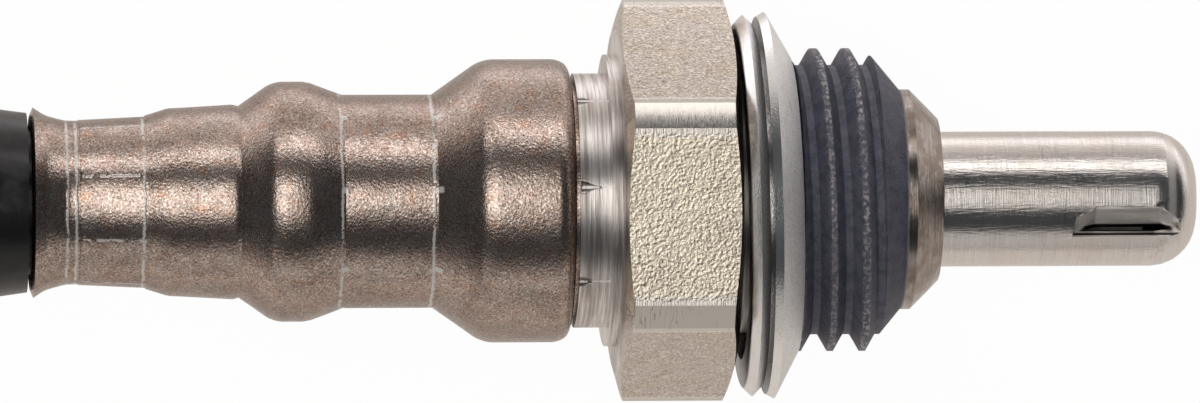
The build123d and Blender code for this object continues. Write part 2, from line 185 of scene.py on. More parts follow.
def make_place_group():
    """Where a point lies: millimetres along the axis, distance from it, and the turn round it."""
    tree, _, out = new_group("sensor_place", [], ["Along", "Radius", "Turn"])
    split = place(tree, "ShaderNodeSeparateXYZ")
    feed(tree, split.inputs[0], stretched(tree, 1.0, 1.0))
    x, y, z = split.outputs
    feed(tree, out["Along"], x)
    square = reckon(tree, "ADD", reckon(tree, "MULTIPLY", y, y), reckon(tree, "MULTIPLY", z, z))
    feed(tree, out["Radius"], reckon(tree, "SQRT", square))
    feed(tree, out["Turn"], reckon(tree, "DEGREES", reckon(tree, "ARCTAN2", y, z)))
    return tree


def make_band_group():
    """Mask of the values between Low and High, with soft ends."""
    tree, given, out = new_group(
        "band_mask", [("Value", 0.0), ("Low", 0.0), ("High", 1.0), ("Soft", 0.05)], ["Mask"])
    low, high, soft = given["Low"], given["High"], given["Soft"]
    rise = remap(tree, given["Value"], reckon(tree, "SUBTRACT", low, soft),
                 reckon(tree, "ADD", low, soft))
    fall = remap(tree, given["Value"], reckon(tree, "SUBTRACT", high, soft),
                 reckon(tree, "ADD", high, soft))
    feed(tree, out["Mask"], reckon(tree, "MULTIPLY", rise, reckon(tree, "SUBTRACT", 1.0, fall)))
    return tree


def make_turning_group():
    """Fine rings that turning or polishing leaves round the axis."""
    tree, given, out = new_group(
        "turning_marks", [("Pitch", 8.0), ("Wander", 0.35), ("Contrast", 1.0)], ["Height", "Tone"])
    fine = noise(tree, stretched(tree, given["Pitch"], given["Wander"]), 1.0, 4.0, 0.7)
    broad = noise(tree, stretched(tree, 1.4, 0.12), 1.0, 2.0, 0.5)
    both = reckon(tree, "ADD", reckon(tree, "MULTIPLY", fine, 0.7),
                  reckon(tree, "MULTIPLY", broad, 0.3))
    feed(tree, out["Height"], both)
    swing = reckon(tree, "MULTIPLY", reckon(tree, "SUBTRACT", both, 0.5), given["Contrast"])
    feed(tree, out["Tone"], reckon(tree, "ADD", swing, 0.5))
    return tree


def make_blast_group():
    """Pitted grain that bead blasting leaves."""
    tree, given, out = new_group(
        "blast_grain", [("Grain", 9.0), ("Depth", 1.0)], ["Height", "Tone", "Spark"])
    fine = noise(tree, stretched(tree, given["Grain"], given["Grain"]), 1.0, 3.0, 0.65)
    coarse = noise(tree, stretched(tree, 2.6, 2.6), 1.0, 2.0, 0.5)
    cell = place(tree, "ShaderNodeTexVoronoi", feature="SMOOTH_F1")
    feed(tree, cell.inputs["Vector"], stretched(tree, given["Grain"], given["Grain"]))
    feed(tree, cell.inputs["Scale"], 0.8)
    pits = reckon(tree, "MULTIPLY", cell.outputs["Distance"], 0.5)
    height = reckon(tree, "ADD", reckon(tree, "MULTIPLY", fine, 0.6), pits)
    feed(tree, out["Height"], reckon(tree, "MULTIPLY", height, given["Depth"]))
    feed(tree, out["Tone"], reckon(tree, "ADD", reckon(tree, "MULTIPLY", fine, 0.85),
                                   reckon(tree, "MULTIPLY", coarse, 0.15)))
    feed(tree, out["Spark"], remap(tree, fine, 0.62, 0.74))
    return tree


def make_stain_group():
    """Broad uneven patches, such as heat tint, handling and dried residue."""
    tree, given, out = new_group(
        "stains", [("Size", 0.5), ("From", 0.45), ("To", 0.65), ("Shift", 0.0)], ["Mask"])
    source = place(tree, "ShaderNodeVectorMath", operation="ADD")
    inverse = reckon(tree, "DIVIDE", 1.0, given["Size"])
    feed(tree, source.inputs[0], stretched(tree, inverse, inverse))
    shift = place(tree, "ShaderNodeCombineXYZ")
    for name in ("X", "Y", "Z"):
        feed(tree, shift.inputs[name], given["Shift"])
    feed(tree, source.inputs[1], shift.outputs[0])
    patches = noise(tree, source.outputs[0], 1.0, 5.0, 0.6)
    feed(tree, out["Mask"], remap(tree, patches, given["From"], given["To"]))
    return tree


def make_scratch_group():
    """Sparse thin scratches, stretched along or across the axis."""
    tree, given, out = new_group(
        "scratches", [("Along", 0.5), ("Across", 6.0), ("Amount", 0.1)], ["Mask"])
    thin = noise(tree, stretched(tree, given["Along"], given["Across"]), 1.0, 1.0, 0.5)
    ridge = reckon(tree, "ABSOLUTE", reckon(tree, "SUBTRACT", thin, 0.5))
    lines = remap(tree, ridge, 0.0, reckon(tree, "MULTIPLY", given["Amount"], 0.12), 1.0, 0.0)
    patchy = remap(tree, noise(tree, stretched(tree, 0.5, 0.5), 1.0, 2.0, 0.5), 0.45, 0.6)
    feed(tree, out["Mask"], reckon(tree, "MULTIPLY", lines, patchy))
    return tree


def make_ridge_group():
    """Thin broken lines along the ridges that lie between the jaws of a crimping tool."""
    tree, given, out = new_group(
        "jaw_ridges", [("Turn", 0.0), ("Phase", 0.0), ("Width", 1.0), ("Broken", 0.5)], ["Mask"])
    past_ridge = reckon(tree, "SUBTRACT", given["Turn"], given["Phase"])
    apart = reckon(tree, "PINGPONG", past_ridge, JAW_HALF_PITCH)
    solid_width = reckon(tree, "MULTIPLY", given["Width"], 0.4)
    line = remap(tree, apart, solid_width, given["Width"], 1.0, 0.0)
    gaps = noise(tree, stretched(tree, 1.6, 1.6), 1.0, 4.0, 0.7)
    low = reckon(tree, "MULTIPLY_ADD", given["Broken"], 0.25, 0.35)
    kept = remap(tree, gaps, low, reckon(tree, "ADD", low, 0.08))
    feed(tree, out["Mask"], reckon(tree, "MULTIPLY", line, kept))
    return tree


PLACE = make_place_group()
RIDGES = make_ridge_group()
BAND = make_band_group()
TURNING = make_turning_group()
BLAST = make_blast_group()
STAINS = make_stain_group()
SCRATCHES = make_scratch_group()


def finish_material(name):
    """New material; returns it, its tree and its Principled shader."""
    material = bpy.data.materials.new(name)
    material.use_nodes = True
    return material, material.node_tree, material.node_tree.nodes["Principled BSDF"]


def raise_surface(tree, shader, height, distance, strength=1.0):
    """Bump on the shader's normal, with its height in metres at full value."""
    bump = place(tree, "ShaderNodeBump")
    bump.inputs["Strength"].default_value = strength
    bump.inputs["Distance"].default_value = distance
    feed(tree, bump.inputs["Height"], height)
    feed(tree, shader.inputs["Normal"], bump.outputs["Normal"])


def band(tree, value, low, high, soft):
    """Soft mask between two values."""
    return use(tree, BAND, Value=value, Low=low, High=high, Soft=soft).outputs["Mask"]


# ---------------------------------------------------------------- finishes


def scraped_rings(tree, along, places, half_width):
    """Mask of thin broken rings where a tool's edge scraped the sheet."""
    gaps = noise(tree, stretched(tree, 1.2, 1.2), 1.0, 4.0, 0.75)
    kept = remap(tree, gaps, 0.40, 0.50)
    sway = reckon(tree, "MULTIPLY", reckon(tree, "SUBTRACT", gaps, 0.5), 0.25)
    along = reckon(tree, "ADD", along, sway)
    total = 0.0
    for x in places:
        ring = band(tree, along, x - half_width, x + half_width, 0.03)
        total = reckon(tree, "MAXIMUM", total, ring)
    return reckon(tree, "MULTIPLY", total, kept)


def ridge_lines(tree, turn, phase, width, broken):
    """Mask of the lines between the jaws; phase and width are in degrees."""
    return use(tree, RIDGES, Turn=turn, Phase=phase, Width=width, Broken=broken).outputs["Mask"]


def jaw_scrapes(tree, along, turn):
    """Mask of the bright marks that the forming tools left on the sleeve."""
    rear = ridge_lines(tree, turn, REAR_RIDGE_TURN, 1.3, 0.35)
    rear = reckon(tree, "MULTIPLY", rear, band(tree, along, *REAR_BAND, 0.05))
    front = ridge_lines(tree, turn, FRONT_RIDGE_TURN, 0.8, 0.75)
    front = reckon(tree, "MULTIPLY", front, band(tree, along, *SLEEVE_WAIST, 0.05))
    notch = ridge_lines(tree, turn, FRONT_RIDGE_TURN, 2.4, -0.8)
    ends = [band(tree, along, *end, 0.06) for end in SLEEVE_WAIST_ENDS]
    notch = reckon(tree, "MULTIPLY", notch, reckon(tree, "ADD", *ends))
    rings = scraped_rings(tree, along, SCRAPED_RINGS, 0.05)
    return reckon(tree, "MAXIMUM", reckon(tree, "MAXIMUM", rear, front),
                  reckon(tree, "MAXIMUM", notch, rings))


def blasted_sleeve_finish():
    """Fine blasted stainless sheet with warm heat tint, scraped bright where the jaws pressed, with
    painted shade at grazing angles.
    """
    blasted, heated, bare = (0.58, 0.46, 0.40), (0.44, 0.34, 0.29), (0.42, 0.40, 0.37)
    rusted, pitted, sparkling = (0.58, 0.30, 0.17), (0.12, 0.085, 0.07), (0.98, 0.88, 0.80)
    grazing_painted_shade, scraped = (0.14, 0.095, 0.075), (0.95, 0.93, 0.90)
    material, tree, shader = finish_material("blasted_stainless_sleeve")
    where = use(tree, PLACE).outputs
    grain = use(tree, BLAST, Grain=12.0, Depth=1.0).outputs
    tint = use(tree, STAINS, Size=1.9, From=0.40, To=0.64, Shift=3.1).outputs["Mask"]
    grey = use(tree, STAINS, Size=1.1, From=0.50, To=0.70, Shift=11.6).outputs["Mask"]
    rust = use(tree, STAINS, Size=0.55, From=0.52, To=0.72, Shift=8.4).outputs["Mask"]
    base = blend(tree, tint, blasted, heated)
    base = blend(tree, reckon(tree, "MULTIPLY", grey, 0.5), base, bare)
    base = blend(tree, reckon(tree, "MULTIPLY", rust, 0.6), base, rusted)
    base = blend(tree, remap(tree, grain["Tone"], 0.32, 0.50, 0.90, 0.0), base, pitted)
    base = blend(tree, remap(tree, grain["Tone"], 0.52, 0.66, 0.0, 0.85), base, sparkling)
    # Painted shade: the base colour darkens where the surface turns away from the view.
    painted_shade_facing = place(tree, "ShaderNodeLayerWeight")
    painted_shade_facing.inputs["Blend"].default_value = 0.5
    base = blend(tree, remap(tree, painted_shade_facing.outputs["Facing"], 0.15, 0.70, 0.0, 0.55), base, grazing_painted_shade)
    marks = jaw_scrapes(tree, where["Along"], where["Turn"])
    base = blend(tree, reckon(tree, "MULTIPLY", marks, 0.85), base, scraped)
    feed(tree, shader.inputs["Base Color"], base)
    feed(tree, shader.inputs["Metallic"], remap(tree, marks, 0.0, 1.0, 1.0, 0.3))
    feed(tree, shader.inputs["Roughness"], remap(tree, grain["Tone"], 0.3, 0.7, 0.30, 0.21))
    height = reckon(tree, "ADD", grain["Height"], reckon(tree, "MULTIPLY", marks, 0.6))
    raise_surface(tree, shader, height, 0.00002, 0.7)
    return material


def hexagon_colour(tree, along, radius, turn, grain):
    """Blasted and yellow-plated flats, the top one painted lighter as painted light, with a painted
    highlight along their edges; returns their colour and the masks of flats and corners.
    """
    plating_painted_shaded_sides, plating_painted_lit_top = (0.60, 0.53, 0.49), (1.0, 0.90, 0.74)
    cloud_painted_shaded_sides, cloud_painted_lit_top = (0.58, 0.51, 0.43), (0.86, 0.77, 0.64)
    pitted, sparkling, rim_painted_highlight = (0.26, 0.20, 0.13), (0.96, 0.93, 0.80), (0.98, 0.96, 0.90)
    patches = use(tree, STAINS, Size=1.2, From=0.42, To=0.66, Shift=1.7).outputs["Mask"]
    on_hexagon = band(tree, along, *HEXAGON, 0.05)
    on_corner = reckon(tree, "MULTIPLY", on_hexagon, remap(tree, radius, *HEX_CORNER))
    on_flat = reckon(tree, "SUBTRACT", on_hexagon, on_corner)
    # Painted light: the flat on top is lighter and yellower than the side flats.
    painted_lit_top_mask = reckon(tree, "LESS_THAN", reckon(tree, "ABSOLUTE", turn), FLAT_HALF_TURN)
    plating_and_painted_light = blend(tree, painted_lit_top_mask, plating_painted_shaded_sides, plating_painted_lit_top)
    cloud_and_painted_light = blend(tree, painted_lit_top_mask, cloud_painted_shaded_sides, cloud_painted_lit_top)
    flat = blend(tree, patches, plating_and_painted_light, cloud_and_painted_light)
    flat = blend(tree, remap(tree, grain["Tone"], 0.32, 0.50, 0.80, 0.0), flat, pitted)
    flat = blend(tree, remap(tree, grain["Tone"], 0.52, 0.66, 0.0, 0.8), flat, sparkling)
    # Painted highlight: a thin light line along the edges of the flats.
    rim_highlight_mask = reckon(tree, "MULTIPLY", on_hexagon, band(tree, radius, *HEX_RIM, 0.02))
    return blend(tree, reckon(tree, "MULTIPLY", rim_highlight_mask, 0.5), flat, rim_painted_highlight), on_flat, on_corner


def thread_paste(tree, along, radius, tone):
    """Caked assembly paste; returns its colour and its mask, worn through along the crests."""
    thin, thick, crumbly = (0.095, 0.100, 0.140), (0.160, 0.163, 0.215), (0.26, 0.26, 0.31)
    crumbs = use(tree, STAINS, Size=0.16, From=0.47, To=0.60, Shift=5.5).outputs["Mask"]
    crest = band(tree, radius, *THREAD_CREST, 0.04)
    worn = reckon(tree, "MULTIPLY", reckon(tree, "MULTIPLY", crest, crumbs), 0.55)
    mask = reckon(tree, "MULTIPLY", band(tree, along, *THREAD, 0.10),
                  reckon(tree, "SUBTRACT", 1.0, worn))
    cake = use(tree, STAINS, Size=0.5, From=0.35, To=0.65, Shift=2.6).outputs["Mask"]
    paste = blend(tree, cake, thin, thick)
    return blend(tree, remap(tree, tone, 0.5, 0.7, 0.0, 0.5), paste, crumbly), mask


def shell_finish():
    """Turned and plated steel body: sandblasted hexagon with painted light, polished corners, paste
    on the thread and painted shade in the collar's notches.
    """
    turned_dark, turned_light, notch_painted_shade = (0.38, 0.34, 0.32), (0.86, 0.82, 0.79), (0.10, 0.08, 0.07)
    polished, scratched = (0.66, 0.62, 0.57), (0.36, 0.31, 0.27)
    scorched, scraped = (0.25, 0.205, 0.175), (0.95, 0.93, 0.90)
    material, tree, shader = finish_material("turned_plated_shell")
    where = use(tree, PLACE).outputs
    along, radius, turn = where["Along"], where["Radius"], where["Turn"]
    grain = use(tree, BLAST, Grain=10.0, Depth=1.0).outputs
    fine = use(tree, BLAST, Grain=14.0, Depth=1.0).outputs
    rings = use(tree, TURNING, Pitch=9.0, Wander=0.3, Contrast=1.4).outputs
    steel = blend(tree, remap(tree, rings["Tone"], 0.3, 0.7), turned_dark, turned_light)
    flat, on_flat, on_corner = hexagon_colour(tree, along, radius, turn, grain)
    colour = blend(tree, on_flat, steel, flat)
    marks = use(tree, SCRATCHES, Along=5.0, Across=0.6, Amount=0.2).outputs["Mask"]
    colour = blend(tree, on_corner, colour, blend(tree, marks, polished, scratched))
    on_nose = band(tree, along, *NOSE, 0.1)
    patina = use(tree, STAINS, Size=0.7, From=0.38, To=0.62, Shift=13.9).outputs["Mask"]
    patina = reckon(tree, "MULTIPLY", on_nose, remap(tree, patina, 0.0, 1.0, 0.65, 0.95))
    colour = blend(tree, patina, colour, scorched)
    paste, on_paste = thread_paste(tree, along, radius, fine["Tone"])
    colour = blend(tree, on_paste, colour, paste)
    notch_width = remap(tree, along, *NOTCH_TAPER, 3.4, 0.6)
    notch = ridge_lines(tree, turn, FRONT_RIDGE_TURN, notch_width, -0.9)
    notch = reckon(tree, "MULTIPLY", notch, band(tree, along, *COLLAR_NOTCH, 0.04))
    edge = ridge_lines(tree, turn, FRONT_RIDGE_TURN, 0.9, 0.1)
    edge = reckon(tree, "MULTIPLY", edge, band(tree, along, *COLLAR, 0.03))
    # Painted shade: the notch pits at the collar's end are painted near black.
    colour = blend(tree, reckon(tree, "MULTIPLY", notch, 0.9), colour, notch_painted_shade)
    colour = blend(tree, edge, colour, scraped)
    feed(tree, shader.inputs["Base Color"], colour)
    dull = reckon(tree, "MAXIMUM", on_paste, reckon(tree, "MULTIPLY", edge, 0.5))
    feed(tree, shader.inputs["Metallic"], remap(tree, dull, 0.2, 0.8, 1.0, 0.12))
    rough = 0.32
    for mask, change in ((on_flat, -0.04), (on_corner, -0.14), (on_paste, 0.24), (on_nose, -0.10)):
        rough = reckon(tree, "MULTIPLY_ADD", mask, change, rough)
    feed(tree, shader.inputs["Roughness"], rough)
    plain = reckon(tree, "SUBTRACT", 1.0, reckon(tree, "MAXIMUM", on_flat, on_paste))
    height = reckon(tree, "MULTIPLY", notch, -1.5)
    for relief, mask, depth in ((grain, on_flat, 0.85), (fine, on_paste, 1.2), (rings, plain, 0.8)):
        part = reckon(tree, "MULTIPLY", relief["Height"], reckon(tree, "MULTIPLY", mask, depth))
        height = reckon(tree, "ADD", height, part)
    raise_surface(tree, shader, height, 0.00004, 1.0)
    return material


def gasket_finish():
    """Rolled sheet steel: bright folds, a matt free lip and painted shade on the side towards the
    hexagon.
    """
    sheet, dulled, scratched = (0.86, 0.855, 0.85), (0.74, 0.72, 0.70), (0.42, 0.40, 0.38)
    matt_dark, matt_light, shadowed = (0.78, 0.77, 0.76), (1.0, 1.0, 1.0), (0.045, 0.042, 0.042)
    material, tree, shader = finish_material("rolled_gasket_sheet")
    split = place(tree, "ShaderNodeSeparateXYZ")
    feed(tree, split.inputs[0], place(tree, "ShaderNodeNewGeometry").outputs["True Normal"])
    lip = remap(tree, split.outputs["X"], 0.45, 0.75)
    # Painted shade: faces turned towards the hexagon are painted near black.
    seat_side_painted_shade = remap(tree, split.outputs["X"], -0.90, -0.72, 0.95, 0.0)
    grain = use(tree, BLAST, Grain=14.0, Depth=1.0).outputs
    dull = use(tree, STAINS, Size=2.4, From=0.4, To=0.7, Shift=2.2).outputs["Mask"]
    lines = use(tree, SCRATCHES, Along=6.0, Across=0.5, Amount=0.12).outputs["Mask"]
    base = blend(tree, reckon(tree, "MULTIPLY", dull, 0.5), sheet, dulled)
    matt = blend(tree, remap(tree, grain["Tone"], 0.36, 0.6), matt_dark, matt_light)
    base = blend(tree, lip, base, matt)
    base = blend(tree, reckon(tree, "MULTIPLY", lines, 0.5), base, scratched)
    base = blend(tree, seat_side_painted_shade, base, shadowed)
    feed(tree, shader.inputs["Base Color"], base)
    feed(tree, shader.inputs["Metallic"], remap(tree, lip, 0.0, 1.0, 1.0, 0.92))
    feed(tree, shader.inputs["Roughness"], remap(tree, lip, 0.0, 1.0, 0.24, 0.46))
    height = reckon(tree, "MULTIPLY", grain["Height"], remap(tree, lip, 0.0, 1.0, 0.5, 1.0))
    raise_surface(tree, shader, height, 0.00002, 0.8)
    return material


def louvre_masks(tree, where):
    """Masks of the louvres: pale cut edges and dents painted pale as a reflection, and painted shade
    inside the tube.
    """
    lanced = band(tree, where["Along"], *LOUVRE, 0.05)
    past_slit = reckon(tree, "SUBTRACT", where["Turn"], LOUVRE_TURN)
    from_slit = reckon(tree, "PINGPONG", past_slit, LOUVRE_HALF_PITCH)
    cut = reckon(tree, "MULTIPLY", lanced, remap(tree, from_slit, 0.6, 1.4, 1.0, 0.0))
    dent = reckon(tree, "MULTIPLY", lanced, remap(tree, where["Radius"], *DENT_RADIUS, 1.0, 0.0))
    dent = reckon(tree, "MULTIPLY", dent, remap(tree, where["Along"], *DENT_END, 1.0, 0.0))
    outward = place(tree, "ShaderNodeVectorMath", operation="DOT_PRODUCT")
    feed(tree, outward.inputs[0], place(tree, "ShaderNodeNewGeometry").outputs["True Normal"])
    feed(tree, outward.inputs[1], stretched(tree, 0.0, 1.0))
    # Painted shade: the tube's inner wall, seen through the slits, is painted near black.
    inside = remap(tree, outward.outputs["Value"], -0.30, -0.10, 1.0, 0.0)
    # Partly real, partly painted light: the cut edges are pale as bright burrs, and the dents are
    # painted pale as a painted reflection.
    pale = reckon(tree, "MAXIMUM", cut, reckon(tree, "MULTIPLY", dent, 0.85))
    # Painted shadow: along the lip's edge, in the opening under it.
    lip = reckon(tree, "MULTIPLY", band(tree, past_slit, *LIP_TURN, 0.8), dent)
    lip = reckon(tree, "MULTIPLY", lip, remap(tree, where["Radius"], *LIP_RADIUS, 1.0, 0.0))
    # Painted shade: the middle of each cut face.
    cut_core_shade = reckon(tree, "MULTIPLY", cut, band(tree, where["Radius"], *CUT_CORE_RADIUS, 0.03))
    return pale, reckon(tree, "MAXIMUM", inside, reckon(tree, "MAXIMUM", lip, cut_core_shade))


def tube_finish():
    """Deep-drawn bright stainless with fine rings from polishing, pale cut edges, dents painted pale
    as a reflection, and painted shade inside.
    """
    ring_dark, ring_light, warmed = (0.60, 0.56, 0.53), (0.84, 0.81, 0.78), (0.70, 0.60, 0.53)
    scratched, pressed, inner_painted_shade = (0.40, 0.37, 0.35), (0.96, 0.92, 0.88), (0.022, 0.020, 0.019)
    material, tree, shader = finish_material("polished_tube_steel")
    where = use(tree, PLACE).outputs
    rings = use(tree, TURNING, Pitch=16.0, Wander=0.4, Contrast=1.2).outputs
    warm = use(tree, STAINS, Size=2.0, From=0.4, To=0.7, Shift=6.3).outputs["Mask"]
    lines = use(tree, SCRATCHES, Along=7.0, Across=0.4, Amount=0.12).outputs["Mask"]
    streaks = noise(tree, stretched(tree, 1.6, 13.0), 1.0, 3.0, 0.6)
    pale, painted_shade_mask = louvre_masks(tree, where)
    base = blend(tree, rings["Tone"], ring_dark, ring_light)
    base = blend(tree, reckon(tree, "MULTIPLY", warm, 0.25), base, warmed)
    base = blend(tree, reckon(tree, "MULTIPLY", lines, 0.5), base, scratched)
    # Pale: bright cut edges, and a painted reflection on the dents.
    base = blend(tree, pale, base, pressed)
    # Painted shade over the inside, the opening under the lip and the middle of the cut faces.
    base = blend(tree, painted_shade_mask, base, inner_painted_shade)
    feed(tree, shader.inputs["Base Color"], base)
    feed(tree, shader.inputs["Metallic"], remap(tree, pale, 0.0, 1.0, 1.0, 0.6))
    rough = remap(tree, rings["Tone"], 0.3, 0.7, 0.24, 0.15)
    feed(tree, shader.inputs["Roughness"], reckon(tree, "MULTIPLY_ADD", pale, 0.15, rough))
    height = reckon(tree, "ADD", reckon(tree, "MULTIPLY", rings["Height"], 0.7),
                    reckon(tree, "MULTIPLY", streaks, 0.8))
    raise_surface(tree, shader, height, 0.000016, 0.7)
    return material


def rubber_finish():
    """Moulded black rubber, dull, with a faint bloom."""
    black, bloomed = (0.012, 0.012, 0.013), (0.035, 0.034, 0.034)
    material, tree, shader = finish_material("moulded_rubber")
    grain = use(tree, BLAST, Grain=4.0, Depth=1.0).outputs
    bloom = use(tree, STAINS, Size=1.1, From=0.45, To=0.75, Shift=4.9).outputs["Mask"]
    feed(tree, shader.inputs["Base Color"], blend(tree, bloom, black, bloomed))
    feed(tree, shader.inputs["Roughness"], remap(tree, bloom, 0.0, 1.0, 0.30, 0.50))
    raise_surface(tree, shader, grain["Height"], 0.00003, 0.35)
    return material


def mineral_finish(name, light, dark, grain_size):
    """Fired or pressed mineral body, matt and slightly speckled."""
    material, tree, shader = finish_material(name)
    grain = use(tree, BLAST, Grain=grain_size, Depth=1.0).outputs
    patch = use(tree, STAINS, Size=0.8, From=0.4, To=0.7, Shift=7.7).outputs["Mask"]
    base = blend(tree, reckon(tree, "MULTIPLY", patch, 0.5), light, dark)
    base = blend(tree, reckon(tree, "MULTIPLY", grain["Spark"], 0.3), base, dark)
    feed(tree, shader.inputs["Base Color"], base)
    feed(tree, shader.inputs["Roughness"], remap(tree, grain["Tone"], 0.3, 0.7, 0.7, 0.5))
    raise_surface(tree, shader, grain["Height"], 0.00002, 0.4)
    return material


def spring_steel_finish():
    """Plain strip and ring steel of the inner parts."""
    ring_dark, ring_light, dulled = (0.52, 0.51, 0.49), (0.70, 0.69, 0.67), (0.42, 0.40, 0.37)
    material, tree, shader = finish_material("inner_spring_steel")
    rings = use(tree, TURNING, Pitch=6.0, Wander=1.0, Contrast=1.0).outputs
    dull = use(tree, STAINS, Size=0.6, From=0.4, To=0.7, Shift=9.2).outputs["Mask"]
    base = blend(tree, rings["Tone"], ring_dark, ring_light)
    base = blend(tree, reckon(tree, "MULTIPLY", dull, 0.4), base, dulled)
    feed(tree, shader.inputs["Base Color"], base)
    shader.inputs["Metallic"].default_value = 1.0
    feed(tree, shader.inputs["Roughness"], remap(tree, dull, 0.0, 1.0, 0.28, 0.42))
    raise_surface(tree, shader, rings["Height"], 0.00001, 0.4)
    return material


# ---------------------------------------------------------------- pieces


def dress(names, material):
    """Gives CAD nodes a finish."""
    for name in names:
        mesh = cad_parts[name].data
        mesh.materials.clear()
        mesh.materials.append(material)


def off_axis(spot):
    """Distance of a place from the sensor's axis."""
    return math.hypot(spot.y, spot.z)


def tube_end_and_radius():
    """Where the protection tube ends along the axis, and the radius of its plain wall."""
    spots = [vertex.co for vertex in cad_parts["protection_tube"].data.vertices]
    end = max(spot.x for spot in spots)
    return end, max(off_axis(spot) for spot in spots if spot.x > end - TUBE_PLAIN_LENGTH)


def round_off(work, start, centre_radius, rounding):
    """Cuts the chords of a turned end finer and lifts the new points onto their arc.

    The arc starts at a place along the axis and has its centre at a radius.
    """
    def arm(vertex):
        return Vector((vertex.co.x - start, off_axis(vertex.co) - centre_radius))

    def on_arc(vertex):
        return vertex.co.x > start - TOUCH and abs(arm(vertex).length - rounding) < TOUCH

    steep = [edge for edge in work.edges
             if all(on_arc(vertex) for vertex in edge.verts)
             and abs(edge.verts[0].co.x - edge.verts[1].co.x) > 10 * TOUCH]
    bmesh.ops.subdivide_edges(work, edges=steep, cuts=3, use_grid_fill=True)
    for vertex in work.verts:
        reach = arm(vertex)
        on_chord = 0.95 * rounding < reach.length < rounding
        if min(reach) > TOUCH and on_chord:
            lifted = reach * (rounding / reach.length)
            scale = (centre_radius + lifted.y) / off_axis(vertex.co)
            vertex.co = (start + lifted.x, vertex.co.y * scale, vertex.co.z * scale)
    bmesh.ops.triangulate(work, faces=[face for face in work.faces if len(face.verts) > 4])


def round_tube_end(work):
    """Rounds the closed end of the protection tube."""
    end, radius = tube_end_and_radius()
    round_off(work, end - TUBE_END_ROUNDING, radius - TUBE_END_ROUNDING, TUBE_END_ROUNDING)


def mark_joints(work, crease):
    """Makes every face smooth, keeps the joints past the crease sharp and marks the soft ones."""
    for face in work.faces:
        face.smooth = True
    weight = work.edges.layers.float.new("bevel_weight_edge")
    for edge in work.edges:
        angle = math.degrees(edge.calc_face_angle()) if len(edge.link_faces) == 2 else 180
        edge.smooth = angle < crease
        edge[weight] = 1.0 if SOFT_JOINT < angle < crease else 0.0


def smooth_copy(name, crease, rounding, material, shape=None):
    """Copy of a CAD node with one continuous skin, its chorded roundings made round.

    The crease is in degrees. The shape, if there is one, is a function that edits the bmesh.
    """
    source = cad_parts[name]
    piece = source.copy()
    piece.data = source.data.copy()
    piece.name = name + "_skin"
    bpy.context.scene.collection.objects.link(piece)
    mesh = piece.data
    mesh.materials.clear()
    mesh.materials.append(material)
    work = bmesh.new()
    work.from_mesh(mesh)
    bmesh.ops.remove_doubles(work, verts=work.verts, dist=MERGE_DISTANCE)
    if shape:
        shape(work)
    mark_joints(work, crease)
    work.to_mesh(mesh)
    work.free()
    soften = piece.modifiers.new("round_joints", "BEVEL")
    soften.limit_method = "WEIGHT"
    soften.width = rounding
    soften.segments = 3
    weighted = piece.modifiers.new("even_shading", "WEIGHTED_NORMAL")
    weighted.keep_sharp = True
    weighted.mode = "FACE_AREA_WITH_ANGLE"
    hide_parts(name)
    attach(piece, "root")
    return piece


def shade_round(piece, radius):
    """Gives the plain wall of a turned piece the exact normals of its cylinder."""
    graph = bpy.context.evaluated_depsgraph_get()
    mesh = bpy.data.meshes.new_from_object(piece.evaluated_get(graph), depsgraph=graph)
    normals = [corner.vector.copy() for corner in mesh.corner_normals]
    for face in mesh.polygons:
        spots = [mesh.vertices[i].co for i in face.vertices]
        if all(abs(off_axis(spot) - radius) < TOUCH for spot in spots):
            for loop, spot in zip(face.loop_indices, spots):
                normals[loop] = Vector((0, spot.y, spot.z)).normalized()
    piece.modifiers.clear()
    piece.data = mesh
    mesh.normals_split_custom_set(normals)


def make_outside():
    """The five pieces that show."""
    smooth_copy("outer_sleeve", 50, 0.00018, blasted_sleeve_finish())
    smooth_copy("hex_shell", 24, 0.00012, shell_finish())
    smooth_copy("sealing_gasket", 50, 0.00010, gasket_finish())
    tube = smooth_copy("protection_tube", 50, 0.00030, tube_finish(), round_tube_end)
    shade_round(tube, tube_end_and_radius()[1])
    smooth_copy("lead_grommet", 50, 0.00010, rubber_finish())


def dress_inside():
    """The CAD nodes inside the shell and the sleeve, kept as they are."""
    strip = mineral_finish("strip_ceramic", (0.78, 0.77, 0.74), (0.60, 0.59, 0.56), 12.0)
    bush = mineral_finish("bush_ceramic", (0.84, 0.82, 0.78), (0.68, 0.65, 0.60), 6.0)
    talc = mineral_finish("pressed_talc", (0.70, 0.70, 0.67), (0.55, 0.55, 0.53), 3.5)
    dress(["sensing_element"], strip)
    dress(["lower_insulator", "upper_insulator", "contact_holder_upper",
           "contact_holder_lower", "wire_guide"], bush)
    dress(["talc_packing"], talc)
    dress(["seat_washer", "press_ring", "spring_washer", "holder_clamp_ring", "signal_contact",
           "ground_contact", "heater_contact_a", "heater_contact_b"], spring_steel_finish())


# ---------------------------------------------------------------- floor, light and camera

FLOOR_SIZE = 3.0
FLOOR_GAP = 0.00002             # keeps the floor clear of the flat that rests on it
FLOOR_GLOW = 0.93               # share of plain white in the floor as the camera sees it
FLOOR_WHITE = 1.04              # strength of that white
FLOOR_RISE = (10.0, 13.0)       # millimetres along +Y over which the mirrored floor brightens
FLOOR_FALL = (18.0, 28.0)       # and those over which it falls back
CARD_DISTANCE = 0.6

CAMERA_DISTANCE = 0.60          # near enough for clipping to reach the sensor
CAMERA_TURNS = (5.3, 4.05, 0.15)    # degrees: tilt towards +Y, yaw towards -X, roll
CAMERA_TARGET = -5.10 * MM      # on the axis
CAMERA_DROP = 0.04 * MM
SENSOR_WIDTH = 36.0             # of the camera, in millimetres
PICTURE_WIDTH = 1200            # pixels
PIXELS_PER_MM = 25.78           # at the sensor's axis


